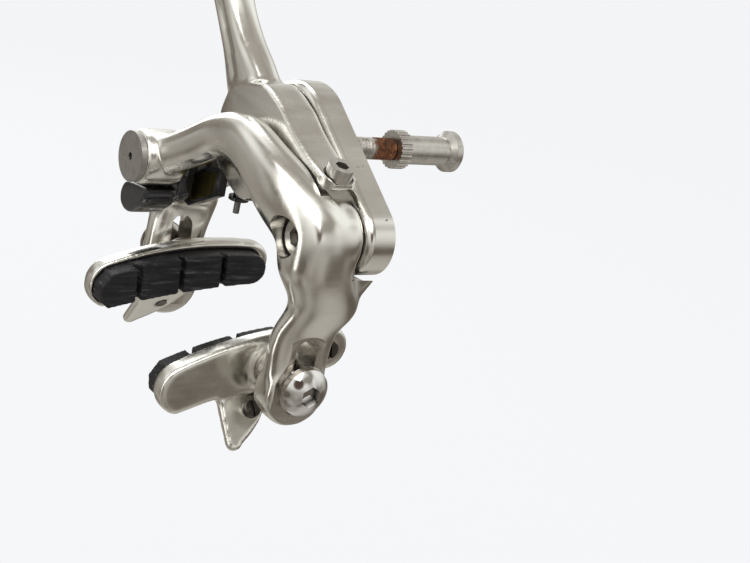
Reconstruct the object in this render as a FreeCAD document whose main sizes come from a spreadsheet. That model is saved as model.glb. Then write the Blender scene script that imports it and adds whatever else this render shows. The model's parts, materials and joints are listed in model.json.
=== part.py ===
import FreeCAD, Part
import math
import os
import Sketcher

# Dual-pivot rim brake caliper, in millimetres.
# Origin: centre of the bracket plate's rear seat, on the centre bolt's axis.
# +Y points rearward along the centre bolt, +X to the side of the C-arm's leg and the side pivot, +Z up.

DIMENSIONS = {
    # bracket plate and the two pivots
    "plate_thick": 8.0,
    "plate_round": 2.2,
    "plate_hub_r": 16.5,
    "plate_side_r": 9.2,
    "side_pivot_x": 33.0,
    "side_pivot_z": -12.0,
    # centre bolt, washer and sleeve nut
    "stud_r": 3.0,
    "stud_plain": 18.0,
    "stud_thread_r": 2.65,
    "stud_thread": 23.0,
    "end_chamfer": 0.6,
    "journal_r": 4.0,
    "journal_len": 14.0,
    "tip_r": 2.65,
    "tip_len": 4.6,
    "serrated_r": 5.2,
    "serrated_thick": 3.6,
    "serrated_y": 25.4,
    "sleeve_r": 3.9,
    "sleeve_len": 14.0,
    "sleeve_flange_r": 5.6,
    "sleeve_flange": 2.4,
    "sleeve_neck": 1.0,
    "sleeve_rim": 0.5,
    "sleeve_socket_r": 2.9,
    "sleeve_socket_depth": 3.6,
    "pivot_nut_r": 5.4,
    "pivot_nut_thick": 3.6,
    "nut_washer_r": 6.4,
    "nut_washer_thick": 0.6,
    "thrust_r": 7.0,
    "thrust_thick": 0.5,
    # arms
    "arm_gap": 0.6,
    "y_arm_thick": 10.4,
    "bush_wall": 1.6,
    "running_gap": 0.05,
    "hub_sink": 5.0,
    "side_boss_r": 8.8,
    "side_boss_len": 13.4,
    "side_head_r": 4.4,
    "side_head_len": 4.4,
    "side_head_proud": 1.2,
    "side_socket_r": 2.5,
    "side_socket_depth": 2.4,
    "side_shank_r": 3.4,
    "side_thread_r": 3.0,
    "side_thread_len": 7.4,
    "slot_width": 6.2,
    "near_slot_top": -37.1,
    "far_slot_top": -31.0,
    "slot_bottom": -57.1,
    "leg_y": -15.0,
    "leg_end_z": -52.0,
    "leg_end_r": 8.3,
    "leg_inner_x": 30.1,
    "leg_outer_x": 37.7,
    "spot_face_x": 37.4,
    "spot_face_r": 7.2,
    "near_spot_top": -43.0,
    "far_spot_top": -40.6,
    # quick release and cable anchor
    "release_x": -24.4,
    "release_z": -12.6,
    "release_boss_r": 7.0,
    "release_boss_len": 11.8,
    "release_boss_rear": -24.2,
    "release_disc_r": 6.6,
    "release_disc": 1.6,
    "release_shaft_r": 4.0,
    "release_square": 4.6,
    "lever_front": -24.0,
    "lever_rear": -20.2,
    "anchor_x": -35.5,
    "anchor_z": -17.8,
    "anchor_bolt_r": 2.5,
    # brake blocks
    "near_bolt_z": -49.6,
    "far_bolt_z": -42.4,
    "near_tilt": 10.0,
    "far_tilt": 5.0,
    "holder_face_x": 24.0,
    "holder_thick": 4.6,
    "block_front": -32.0,
    "holder_rear": 22.6,
    "block_depth": 6.8,
    "block_sink": 2.4,
    "groove_width": 1.6,
    "groove_depth": 2.6,
    "groove_first": 12.6,
    "groove_pitch": 12.4,
    "pad_bolt_r": 2.5,
    "dome_r": 6.2,
    "dome_height": 2.8,
    "cone_washer_r": 6.2,
    # barrel adjuster
    "adjuster_x": -35.0,
    "adjuster_y": -14.0,
    "adjuster_z": 36.0,
    "adjuster_boss_r": 5.6,
    "adjuster_boss_len": 7.0,
    "collar_r": 6.4,
    "collar_len": 4.5,
    "barrel_r": 3.4,
    "barrel_len": 22.0,
    "housing_r": 2.6,
    "housing_depth": 6.0,
    "cable_r": 1.2,
    # return spring
    "spring_coil_r": 10.6,
    "spring_wire_r": 0.9,
    "spring_y": -11.8,
    "spring_leg_bottom": -22.6,
    "spring_sleeve_top": -13.6,
    "spring_sleeve_len": 4.4,
    "spring_sleeve_r": 1.6,
    "spring_slack": 0.4,
    # centring screw
    "centring_x": 30.9,
    "centring_y": -13.8,
    "centring_head_r": 3.3,
    "centring_head": 3.4,
    "centring_shank_r": 1.9,
}

doc = FreeCAD.newDocument("rim_brake_caliper")
sheet = doc.addObject("Spreadsheet::Sheet", "Sizes")
for row, (alias, value) in enumerate(DIMENSIONS.items(), start=1):
    sheet.set("A%d" % row, alias)
    sheet.set("B%d" % row, str(value))
    sheet.setAlias("B%d" % row, alias)
doc.recompute()

parts = []


def size(alias):
    """The number in the sheet's cell of that name."""
    return float(sheet.get(alias))


def bind(obj, **expressions):
    """Bind properties to the sheet; a double underscore stands for a dot in the property's path."""
    for path, expression in expressions.items():
        for alias in DIMENSIONS:
            expression = replace_word(expression, alias, "Sizes." + alias)
        obj.setExpression(path.replace("__", "."), expression)


def replace_word(text, word, new):
    """Replace a whole word, never a piece of a longer name."""
    letters = "abcdefghijklmnopqrstuvwxyz_."
    found = text.find(word)
    while found >= 0:
        before = text[found - 1] if found else " "
        end = found + len(word)
        after = text[end] if end < len(text) else " "
        if before not in letters and after not in letters:
            text = text[:found] + new + text[end:]
            found = text.find(word, found + len(new))
        else:
            found = text.find(word, end)
    return text


def place(x=0.0, y=0.0, z=0.0, rotation=None):
    return FreeCAD.Placement(FreeCAD.Vector(x, y, z), rotation or FreeCAD.Rotation())


REARWARD = FreeCAD.Rotation(FreeCAD.Vector(1, 0, 0), -90)
FORWARD = FreeCAD.Rotation(FreeCAD.Vector(1, 0, 0), 90)


def outward(side):
    """Local Z turned to the outside of the caliper: +X for the near arm, -X for the far arm."""
    return FreeCAD.Rotation(FreeCAD.Vector(0, 1, 0), 90 * side)


def raise_by(obj, start):
    """Start a primitive some way up local Z. One that gets a Placement of its own has no start."""
    if start is not None:
        bind(obj, Placement__Base__z=start)
    return obj


def cylinder(name, radius, height, start=None):
    """A cylinder along local Z, with its sizes bound to the sheet."""
    obj = doc.addObject("Part::Cylinder", name)
    bind(obj, Radius=radius, Height=height)
    return raise_by(obj, start)


def cone(name, radius_low, radius_high, height, start=None):
    obj = doc.addObject("Part::Cone", name)
    bind(obj, Radius1=radius_low, Radius2=radius_high, Height=height)
    return raise_by(obj, start)


def hexagon(name, circumradius, height, start=None):
    obj = doc.addObject("Part::Prism", name)
    obj.Polygon = 6
    bind(obj, Circumradius=circumradius, Height=height)
    return raise_by(obj, start)


def block(name, length, width, height, corner):
    """A box from its lowest corner."""
    obj = doc.addObject("Part::Box", name)
    bind(obj, Length=length, Width=width, Height=height)
    obj.Placement = place(*corner)
    return obj


def fuse(name, shapes):
    """All the shapes joined, one after the other."""
    solid = shapes[0]
    for number, shape in enumerate(shapes[1:], start=1):
        joined = doc.addObject("Part::Fuse", "%s_%d" % (name, number))
        joined.Base = solid
        joined.Tool = shape
        joined.Refine = False
        solid = joined
    return solid


def cut(name, base, tools):
    """Base less every tool, one after the other."""
    solid = base
    for number, tool in enumerate(tools, start=1):
        less = doc.addObject("Part::Cut", "%s_%d" % (name, number))
        less.Base = solid
        less.Tool = tool
        less.Refine = False
        solid = less
    return solid


def common(name, first, second):
    obj = doc.addObject("Part::Common", name)
    obj.Base = first
    obj.Tool = second
    return obj


def node(obj, label, placement=None):
    """Give a finished sub-part its node name and its place in the caliper."""
    obj.Label = label
    if placement is not None:
        obj.Placement = placement
    parts.append(obj)
    return obj


def body_plane(body, role):
    return next(feature for feature in body.Origin.OriginFeatures if feature.Role == role)


def add_sketch(body, name, role="XY_Plane", offset=None):
    sketch = body.newObject("Sketcher::SketchObject", name)
    sketch.AttachmentSupport = [(body_plane(body, role), "")]
    sketch.MapMode = "FlatFace"
    if offset is not None:
        sketch.AttachmentOffset = offset
    return sketch


def vector(point):
    return FreeCAD.Vector(point[0], point[1], 0)


def draw_outline(sketch, outline):
    """Draw a closed outline. An entry is a corner (x, y), or (x, y, "via") for the middle of an arc."""
    count = len(outline)
    corners = [i for i in range(count) if len(outline[i]) == 2]
    for place_in_list, i in enumerate(corners):
        j = corners[(place_in_list + 1) % len(corners)]
        start = vector(outline[i])
        end = vector(outline[j])
        if (i + 1) % count == j:
            sketch.addGeometry(Part.LineSegment(start, end), False)
        else:
            sketch.addGeometry(Part.Arc(start, vector(outline[(i + 1) % count]), end), False)


def pad(body, sketch, name, length, backward=False):
    feature = body.newObject("PartDesign::Pad", name)
    feature.Profile = sketch
    feature.Reversed = backward
    bind(feature, Length=length)
    body.Tip = feature
    return feature


def hull_of_two_circles(x1, y1, r1, x2, y2, r2):
    """The outline of two lobes joined by their outer tangents."""
    distance = math.hypot(x2 - x1, y2 - y1)
    heading = math.atan2(y2 - y1, x2 - x1)
    lean = math.acos((r1 - r2) / distance)

    def rim(x, y, r, angle):
        return (x + r * math.cos(angle), y + r * math.sin(angle))

    return [
        rim(x1, y1, r1, heading + lean),
        rim(x1, y1, r1, heading + math.pi) + ("via",),
        rim(x1, y1, r1, heading - lean),
        rim(x2, y2, r2, heading - lean),
        rim(x2, y2, r2, heading) + ("via",),
        rim(x2, y2, r2, heading + lean),
    ]


def rounded_section(half_a, half_b, roundness):
    """A rounded rectangle about the sketch's origin, as an outline with an arc at each corner."""
    r = roundness * min(half_a, half_b)
    inset = r * (1 - math.sqrt(0.5))
    outline = []
    for sx, sy in ((1, 1), (-1, 1), (-1, -1), (1, -1)):
        along_side = (sx * half_a, sy * (half_b - r))
        along_top = (sx * (half_a - r), sy * half_b)
        first, last = (along_side, along_top) if sx * sy > 0 else (along_top, along_side)
        outline += [first, (sx * (half_a - inset), sy * (half_b - inset), "via"), last]
    return outline


def arm_loft(label, stations, roundness=0.8):
    """A forged limb: rounded sections set square to a spine that runs in the XZ plane.

    A station is (x, y, z, heading of the spine in degrees, half width across it, half depth along Y).
    """
    body = doc.addObject("PartDesign::Body", label)
    sketches = []
    for number, (x, y, z, heading, across, depth) in enumerate(stations):
        angle = math.radians(heading)
        normal = FreeCAD.Vector(-math.sin(angle), 0, math.cos(angle))
        turn = FreeCAD.Rotation(normal, FreeCAD.Vector(0, 1, 0), FreeCAD.Vector(0, 0, 0), "XYZ")
        sketch = add_sketch(body, "%s_section_%d" % (label, number), offset=place(x, y, z, turn))
        draw_outline(sketch, rounded_section(across, depth, roundness))
        sketches.append(sketch)
    loft = body.newObject("PartDesign::AdditiveLoft", label + "_loft")
    loft.Profile = sketches[0]
    loft.Sections = sketches[1:]
    loft.Ruled = True
    loft.Closed = False
    body.Tip = loft
    return body


def mirrored_station(station):
    """The same station on the other side of the caliper."""
    x, y, z, heading, across, depth = station
    return (-x, y, z, 180 - heading, across, depth)


plate_front = -size("plate_thick")
y_arm_rear = plate_front - size("arm_gap")
y_arm_front = y_arm_rear - size("y_arm_thick")
c_arm_rear = y_arm_front - size("arm_gap")
side_x = size("side_pivot_x")
side_z = size("side_pivot_z")
leg_y = size("leg_y")


def at_centre(y, rotation=REARWARD):
    return place(0, y, 0, rotation)


def at_side(y, rotation=REARWARD):
    return place(side_x, y, side_z, rotation)


# ---------------------------------------------------------------- bracket plate and centre bolt

def make_bracket_plate():
    body = doc.addObject("PartDesign::Body", "bracket_body")
    outline = add_sketch(body, "bracket_outline", "XZ_Plane")
    lobes = hull_of_two_circles(0, 0, size("plate_hub_r"), side_x, side_z, size("plate_side_r"))
    draw_outline(outline, lobes)
    plate = pad(body, outline, "bracket_pad", "plate_thick")
    doc.recompute()
    front_edges = []
    for number, edge in enumerate(plate.Shape.Edges, start=1):
        box = edge.BoundBox
        if box.YMax < plate_front + 0.01:
            front_edges.append("Edge%d" % number)
    rounded = body.newObject("PartDesign::Fillet", "bracket_front_round")
    rounded.Base = (plate, front_edges)
    bind(rounded, Radius="plate_round")
    body.Tip = rounded
    bore = cylinder("bracket_bore", "journal_r", "plate_thick + 2")
    bore.Placement = at_centre(plate_front - 1)
    thread = cylinder("bracket_thread", "side_thread_r", "side_thread_len")
    thread.Placement = at_side(plate_front - 0.2)
    node(cut("bracket_cut", body, [bore, thread]), "bracket_plate")


def make_centre_bolt():
    tip = cylinder("bolt_tip", "tip_r", "tip_len")
    journal = cylinder("bolt_journal", "journal_r", "journal_len", "tip_len")
    plain = cylinder("bolt_plain", "stud_r", "stud_plain", "tip_len + journal_len")
    thread = cylinder("bolt_thread", "stud_thread_r", "stud_thread - end_chamfer",
                      "tip_len + journal_len + stud_plain")
    end = cone("bolt_end", "stud_thread_r", "stud_thread_r - end_chamfer", "end_chamfer",
               "tip_len + journal_len + stud_plain + stud_thread - end_chamfer")
    front = -size("tip_len") - size("journal_len")
    node(fuse("bolt_fuse", [tip, journal, plain, thread, end]), "centre_bolt", at_centre(front))


def make_washer(label, outer, inner, thickness, placement):
    ring = cylinder(label + "_disc", outer, thickness)
    hole = cylinder(label + "_hole", inner, thickness + " + 2", "-1")
    node(cut(label + "_cut", ring, [hole]), label, placement)


def make_pivot_nut():
    across = hexagon("pivot_nut_hex", "pivot_nut_r", "pivot_nut_thick")
    crown = cone("pivot_nut_crown", "pivot_nut_r - 0.2", "pivot_nut_r + 1.4", "pivot_nut_thick")
    hole = cylinder("pivot_nut_hole", "tip_r", "pivot_nut_thick + 2", "-1")
    shaped = common("pivot_nut_shaped", across, crown)
    journal_front = -size("journal_len")
    start = journal_front - size("nut_washer_thick") - size("pivot_nut_thick")
    node(cut("pivot_nut_cut", shaped, [hole]), "pivot_nut", at_centre(start))


def make_serrated_washer():
    teeth = 24
    tooth_gap_r = 0.45
    disc = cylinder("serrated_disc", "serrated_r", "serrated_thick")
    notches = []
    for tooth in range(teeth):
        angle = 2 * math.pi * tooth / teeth
        notch = doc.addObject("Part::Cylinder", "serrated_notch_%d" % tooth)
        notch.Radius = tooth_gap_r
        bind(notch, Height="serrated_thick + 2")
        reach = size("serrated_r") + 0.1
        notch.Placement = place(reach * math.cos(angle), reach * math.sin(angle), -1)
        notches.append(notch)
    hole = cylinder("serrated_hole", "stud_thread_r + 0.05", "serrated_thick + 2", "-1")
    node(cut("serrated_cut", disc, notches + [hole]), "serrated_washer", at_centre(size("serrated_y")))


def make_sleeve_nut():
    sleeve = cylinder("sleeve_tube", "sleeve_r", "sleeve_len")
    neck = cone("sleeve_neck_cone", "sleeve_r", "sleeve_flange_r", "sleeve_neck", "sleeve_len")
    flange = cylinder("sleeve_flange_disc", "sleeve_flange_r", "sleeve_flange - sleeve_rim",
                      "sleeve_len + sleeve_neck")
    rim = cone("sleeve_rim_cone", "sleeve_flange_r", "sleeve_flange_r - sleeve_rim", "sleeve_rim",
               "sleeve_len + sleeve_neck + sleeve_flange - sleeve_rim")
    hole = cylinder("sleeve_hole", "stud_thread_r", "sleeve_len - 0.8", "-1")
    socket = hexagon("sleeve_socket", "sleeve_socket_r", "sleeve_socket_depth + 1",
                     "sleeve_len + sleeve_flange + sleeve_neck - sleeve_socket_depth")
    start = size("serrated_y") + size("serrated_thick")
    node(cut("sleeve_cut", fuse("sleeve_fuse", [sleeve, neck, flange, rim]), [hole, socket]), "sleeve_nut",
         at_centre(start))


# ---------------------------------------------------------------- side pivot

def make_side_pivot_bolt():
    head = cylinder("side_head", "side_head_r", "side_head_len")
    shank = cylinder("side_shank", "side_shank_r", "side_boss_len - side_head_len + side_head_proud",
                     "side_head_len")
    thread = cylinder("side_thread", "side_thread_r", "side_thread_len - end_chamfer",
                      "side_boss_len + side_head_proud")
    socket = hexagon("side_socket", "side_socket_r", "side_socket_depth + 1", "-1")
    start = plate_front - size("side_boss_len") - size("side_head_proud")
    node(cut("side_bolt_cut", fuse("side_bolt_fuse", [head, shank, thread]), [socket]), "side_pivot_bolt",
         at_side(start))


# ---------------------------------------------------------------- limbs shared by both arms

LEG_STATIONS = [
    (35.8, -12.2, -28.5, -96, 4.8, 9.2),
    (33.9, leg_y + 0.4, -37.0, -92, 3.8, 8.7),
    (33.9, leg_y, -47.0, -90, 3.8, 8.3),
    (33.9, leg_y, size("leg_end_z"), -90, 3.8, 8.3),
]


def leg_end(name, side):
    """The round lower end of a leg, with its axis along X."""
    disc = cylinder(name + "_end", "leg_end_r", "leg_outer_x - leg_inner_x")
    disc.Placement = place(side * size("leg_inner_x"), leg_y, size("leg_end_z"), outward(side))
    return disc


def stadium(name, half_width, low, high, length, side, start_x=0.0):
    """An upright slot shape on the leg's middle line, padded outward along X from start_x."""
    body = doc.addObject("PartDesign::Body", name + "_body")
    sketch = add_sketch(body, name + "_outline", "YZ_Plane", place(0, 0, side * start_x))
    r = half_width
    draw_outline(sketch, [
        (leg_y + r, low), (leg_y + r, high), (leg_y, high + r, "via"),
        (leg_y - r, high), (leg_y - r, low), (leg_y, low - r, "via"),
    ])
    pad(body, sketch, name + "_pad", length, backward=side < 0)
    return body


def leg_cuts(name, side):
    """The closed slot for the brake block's bolt, and the flat around it for the bolt's washers."""
    r = size("slot_width") / 2
    low = size("slot_bottom") + r
    high = size("near_slot_top" if side > 0 else "far_slot_top") - r
    slot = stadium(name + "_slot", r, low, high, "60", side)
    top = size("near_spot_top" if side > 0 else "far_spot_top")
    spot = stadium(name + "_spot_face", size("spot_face_r"), low - 0.8, top, "20", side, size("spot_face_x"))
    return [slot, spot]


# ---------------------------------------------------------------- Y-arm, on the centre bolt

SCREW_LEAN = 14
SCREW_TURN = FreeCAD.Rotation(FreeCAD.Vector(0, 1, 0), SCREW_LEAN)
SCREW_FOOT = -3.0
SCREW_SEAT = 2.6


def screw_place(height):
    """A point on the centring screw's axis, a given height above z = 0, turned along that axis."""
    lean = math.tan(math.radians(SCREW_LEAN))
    x = size("centring_x") + (height - SCREW_FOOT) * lean
    return place(x, size("centring_y"), height, SCREW_TURN)


def make_y_arm():
    hub = doc.addObject("PartDesign::Body", "y_hub")
    outline = add_sketch(hub, "y_hub_outline", "XZ_Plane",
                         place(0, 0, -y_arm_rear))
    draw_outline(outline, [
        (9.0, 13.2), (17.5, 8.6), (26.0, 5.0), (34.6, 2.8), (35.6, 1.6, "via"), (34.6, 0.3),
        (24.5, -0.4), (18.0, -3.4, "via"), (12.0, -9.5), (0.0, -14.6, "via"),
        (-13.0, -9.0), (-16.4, 0.0, "via"), (-14.0, 9.0), (-1.5, 15.2, "via"),
    ])
    pad(hub, outline, "y_hub_pad", "y_arm_thick")
    mid = (y_arm_rear + y_arm_front) / 2
    horn = arm_loft("y_horn", [
        (-7.6, mid, 7.8, 138, 9.0, 4.8),
        (-13.4, mid, 13.4, 136, 7.4, 4.8),
        (-19.4, mid, 19.4, 134, 5.2, 4.6),
        (-25.8, mid, 25.8, 132, 4.3, 4.4),
        (-31.5, mid, 33.0, 122, 4.4, 4.8),
        (-34.0, size("adjuster_y"), 39.5, 100, 4.8, 5.0),
    ])
    leg = arm_loft("y_leg", [
        (-10.2, mid, -6.2, 214, 6.4, 4.7),
        (-17.4, mid, -11.1, 214, 6.0, 4.7),
        (-24.6, mid + 0.4, -16.2, 219, 5.5, 5.2),
        (-31.8, mid + 1.2, -22.3, 233, 4.9, 6.8),
    ] + [mirrored_station(station) for station in LEG_STATIONS])
    boss = cylinder("adjuster_boss", "adjuster_boss_r", "adjuster_boss_len")
    boss.Placement = place(size("adjuster_x"), size("adjuster_y"), size("adjuster_z"))
    solid = fuse("y_arm_fuse", [hub, horn, leg, boss, leg_end("y", -1)])
    bore = cylinder("y_bore", "journal_r + running_gap + bush_wall", "30")
    bore.Placement = at_centre(-28)
    sink = cylinder("y_sink", "nut_washer_r + 0.5", "20")
    sink.Placement = at_centre(y_arm_front + size("hub_sink"), FORWARD)
    barrel_hole = cylinder("barrel_hole", "barrel_r + running_gap", "30")
    barrel_hole.Placement = place(size("adjuster_x"), size("adjuster_y"), size("adjuster_z") - 12)
    screw_hole = cylinder("centring_hole", "centring_shank_r + running_gap", "20")
    screw_hole.Placement = screw_place(SCREW_FOOT)
    scallop = cylinder("centring_scallop", "centring_head_r + 0.5", "12")
    scallop.Placement = screw_place(SCREW_SEAT)
    clear_front = block("y_front_clear", "60", "20", "90", (-48, c_arm_rear - 20 + size("arm_gap"), -24))
    front = y_arm_front - 0.1
    carrier_seat = slide_pad("slide_seat", front, 2.3)
    recess = cylinder("spring_recess", "spring_coil_r + spring_wire_r + spring_slack",
                      "spring_wire_r * 2 + 3.0")
    recess.Placement = at_centre(y_arm_rear + 0.5, FORWARD)
    core = cylinder("spring_core", "spring_coil_r - spring_wire_r - spring_slack", "40")
    core.Placement = at_centre(-30)
    ring_recess = cut("spring_ring_recess", recess, [core])
    leg_hole = cylinder("spring_leg_hole", "spring_wire_r + 0.1", "20")
    leg_hole.Placement = place(-size("spring_coil_r"), size("spring_y"), -20)
    sleeve_hole = cylinder("spring_sleeve_hole", "spring_sleeve_r", "8")
    sleeve_hole.Placement = place(-size("spring_coil_r"), size("spring_y"), size("spring_sleeve_top") - 7.9)
    tools = [bore, sink, barrel_hole, screw_hole, scallop, clear_front, carrier_seat, ring_recess, leg_hole,
             sleeve_hole]
    node(cut("y_arm_cut", solid, tools + leg_cuts("y", -1)), "y_arm")


def make_bush(label, inner, length, placement):
    tube = cylinder(label + "_tube", inner + " + bush_wall", length)
    hole = cylinder(label + "_hole", inner, "60", "-20")
    node(cut(label + "_cut", tube, [hole]), label, placement)


SLIDE_MIDDLE = (-19.4, -18.0)
SLIDE_CORNERS = [(-11.0, -6.0), (-6.4, 0.6), (2.2, 5.4), (10.0, 7.6), (10.2, 0.4), (-3.2, -7.2)]


def slide_pad(name, front, thickness, share=1.0):
    """The slide plate's outline, or a share of it about its middle, padded forward to a given Y."""
    body = doc.addObject("PartDesign::Body", name + "_body")
    sketch = add_sketch(body, name + "_outline", "XZ_Plane", place(0, 0, -(front + thickness)))
    middle_x, middle_z = SLIDE_MIDDLE
    draw_outline(sketch, [(middle_x + share * x, middle_z + share * z) for x, z in SLIDE_CORNERS])
    pad(body, sketch, name + "_pad", "%f" % thickness)
    return body


def make_slide_plate():
    """The wear plate between the arms: a dark carrier set flat in the Y-arm, holding a brass pad."""
    front = y_arm_front - 0.2
    carrier = slide_pad("slide_carrier", front, 2.2)
    pocket = slide_pad("slide_pocket", front - 1.0, 2.2, 0.80)
    node(cut("slide_cut", carrier, [pocket]), "slide_carrier")
    node(slide_pad("slide_insert", front + 0.1, 1.1, 0.79), "slide_insert")


# ---------------------------------------------------------------- C-arm, on the side pivot

def make_c_arm():
    mid = c_arm_rear - 5.2
    arm = arm_loft("c_limb", [
        (-28.0, mid - 5.0, -12.6, 4, 4.4, 4.3),
        (-20.0, mid - 4.6, -10.4, 22, 4.7, 4.3),
        (-11.0, mid - 2.4, -4.8, 37, 5.0, 4.6),
        (-2.0, mid - 0.2, 1.0, 25, 5.4, 5.1),
        (8.0, mid - 0.1, 2.9, 0, 6.2, 5.1),
        (17.5, mid + 0.4, 0.0, -20, 7.0, 5.4),
        (26.0, mid + 3.0, -4.9, -34, 8.2, 6.8),
        (33.0, mid + 7.4, -11.4, -56, 9.0, 8.4),
        (35.6, mid + 8.6, -20.0, -80, 7.0, 9.2),
    ] + LEG_STATIONS)
    side_boss = cylinder("c_side_boss", "side_boss_r", "side_boss_len")
    side_boss.Placement = at_side(y_arm_rear, FORWARD)
    release_boss = cylinder("c_release_boss", "release_boss_r", "release_boss_len")
    release_boss.Placement = place(size("release_x"), size("release_boss_rear"), size("release_z"), FORWARD)
    spur = doc.addObject("PartDesign::Body", "c_spur")
    sketch = add_sketch(spur, "c_spur_outline", "YZ_Plane", place(0, 0, 35.0))
    draw_outline(sketch, [(-14.0, -18.0), (-8.4, -19.2), (-1.2, -20.0), (-0.7, -21.2, "via"), (-1.6, -22.0),
                          (-5.0, -26.5), (-6.4, -33.0), (-12.0, -35.0)])
    pad(spur, sketch, "c_spur_pad", "4.0")
    solid = fuse("c_arm_fuse", [arm, side_boss, release_boss, spur, leg_end("c", 1)])
    bore = cylinder("c_bore", "side_shank_r + running_gap + bush_wall", "60")
    bore.Placement = at_side(-40)
    relief = cylinder("c_plate_relief", "plate_side_r + 0.6", "20")
    relief.Placement = at_side(y_arm_rear)
    tail_relief = block("c_tail_relief", "30", "30", "20", (17.0, c_arm_rear, -0.9))
    hub_relief = block("c_hub_relief", "63.6", "30", "60", (-40.0, c_arm_rear, -20.0))
    shaft_hole = cylinder("c_shaft_hole", "release_shaft_r + running_gap", "30")
    shaft_hole.Placement = place(size("release_x"), -40, size("release_z"), REARWARD)
    tools = [bore, relief, tail_relief, hub_relief, shaft_hole]
    node(cut("c_arm_cut", solid, tools + leg_cuts("c", 1)), "c_arm")


# ---------------------------------------------------------------- quick release and cable anchor

def make_release_cam():
    front = size("release_boss_rear") - size("release_boss_len") - 0.1
    square_len = size("lever_rear") - size("lever_front")
    disc = cylinder("release_disc_body", "release_disc_r", "release_disc", "-release_disc")
    shaft = cylinder("release_shaft", "release_shaft_r", "release_boss_len + 0.2")
    half = size("release_square") / 2
    square = block("release_square_end", "release_square", "release_square", "%f" % square_len,
                   (-half, -half, size("release_boss_len") + 0.2))
    dimple = cylinder("release_dimple", "1.0", "1.4", "-release_disc - 0.6")
    solid = cut("release_cut", fuse("release_fuse", [disc, shaft, square]), [dimple])
    node(solid, "release_cam", place(size("release_x"), front, size("release_z"), REARWARD))


def make_release_lever():
    x = size("release_x")
    z = size("release_z")
    anchor_x = size("anchor_x")
    anchor_z = size("anchor_z")
    rear = size("lever_rear")
    lever = doc.addObject("PartDesign::Body", "release_lever_body")
    plate = add_sketch(lever, "lever_plate_outline", "XZ_Plane", place(0, 0, -rear))
    draw_outline(plate, hull_of_two_circles(x, z, 5.4, anchor_x, anchor_z, 4.6))
    pad(lever, plate, "lever_plate_pad", "lever_rear - lever_front")
    neck = add_sketch(lever, "lever_neck_outline", "XZ_Plane", place(0, 0, -rear))
    draw_outline(neck, [
        (x + 4.0, z - 2.0), (x + 4.4, z - 8.4), (x + 1.0, z - 11.6, "via"),
        (x - 3.0, z - 12.0), (x - 7.0, z - 6.0),
    ])
    pad(lever, neck, "lever_neck_pad", "lever_rear - lever_front")
    grip = add_sketch(lever, "lever_grip_outline", "XZ_Plane", place(0, 0, -rear + 2.8))
    draw_outline(grip, [
        (x + 2.6, z - 8.2), (x + 0.6, z - 12.6, "via"), (x - 3.0, z - 15.6), (x - 7.4, z - 17.6, "via"),
        (x - 10.8, z - 16.4), (x - 11.6, z - 13.0, "via"), (x - 9.4, z - 10.0), (x - 3.0, z - 8.8, "via"),
    ])
    pad(lever, grip, "lever_grip_pad", "9.6")
    half = size("release_square") / 2
    square_hole = block("lever_square", "release_square", "20", "release_square", (x - half, -34, z - half))
    bolt_hole = cylinder("lever_bolt_hole", "anchor_bolt_r", "20")
    bolt_hole.Placement = place(anchor_x, -30, anchor_z, REARWARD)
    node(cut("lever_cut", lever, [square_hole, bolt_hole]), "release_lever")


def make_cable_anchor():
    x = size("anchor_x")
    z = size("anchor_z")
    washer_thick = 1.6
    head_thick = 3.4
    washer_front = size("lever_front") - washer_thick
    head = hexagon("anchor_head", "4.4", "%f" % head_thick)
    shank = cylinder("anchor_shank", "anchor_bolt_r", "1.6 + 3.6", "3.4")
    node(fuse("anchor_fuse", [head, shank]), "anchor_bolt", place(x, washer_front - head_thick, z, REARWARD))
    washer = cylinder("anchor_washer_disc", "4.8", "%f" % washer_thick)
    hole = cylinder("anchor_washer_hole", "anchor_bolt_r", "4", "-1")
    groove = cylinder("anchor_groove", "0.8", "14")
    groove.Placement = place(3.4, -7, washer_thick + 0.3, REARWARD)
    node(cut("anchor_washer_cut", washer, [hole, groove]), "anchor_washer",
         place(x, washer_front, z, REARWARD))


# ---------------------------------------------------------------- barrel adjuster and centring screw

def make_adjuster():
    x = size("adjuster_x")
    y = size("adjuster_y")
    top = size("adjuster_z") + size("adjuster_boss_len") + 0.1
    collar = cylinder("collar_disc", "collar_r", "collar_len")
    grips = 18
    notches = []
    for number in range(grips):
        angle = 2 * math.pi * number / grips
        notch = doc.addObject("Part::Cylinder", "collar_notch_%d" % number)
        notch.Radius = 0.6
        notch.Height = 8
        reach = size("collar_r") + 0.2
        notch.Placement = place(reach * math.cos(angle), reach * math.sin(angle), -1)
        notches.append(notch)
    hole = cylinder("collar_hole", "barrel_r + running_gap", "collar_len + 2", "-1")
    node(cut("collar_cut", collar, notches + [hole]), "adjuster_collar", place(x, y, top))
    barrel = cylinder("barrel_tube", "barrel_r", "barrel_len")
    cap = cylinder("barrel_cap", "barrel_r + 1.2", "4.0", "barrel_len")
    seat = cylinder("barrel_seat", "housing_r", "housing_depth + 2", "barrel_len + 4.0 - housing_depth")
    wire = cylinder("barrel_wire_hole", "cable_r", "60", "-10")
    node(cut("barrel_cut", fuse("barrel_fuse", [barrel, cap]), [seat, wire]), "adjuster_barrel",
         place(x, y, size("adjuster_z") - 1.0))


def make_centring_screw():
    shank = cylinder("centring_shank", "centring_shank_r", "4.0", "-2.7")
    head = cylinder("centring_head_body", "centring_head_r", "centring_head", "0.1")
    socket = hexagon("centring_socket", "1.75", "4", "0.1 + centring_head - 2")
    node(cut("centring_cut", fuse("centring_fuse", [shank, head]), [socket]), "centring_screw",
         screw_place(SCREW_SEAT))


# ---------------------------------------------------------------- return spring

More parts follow.
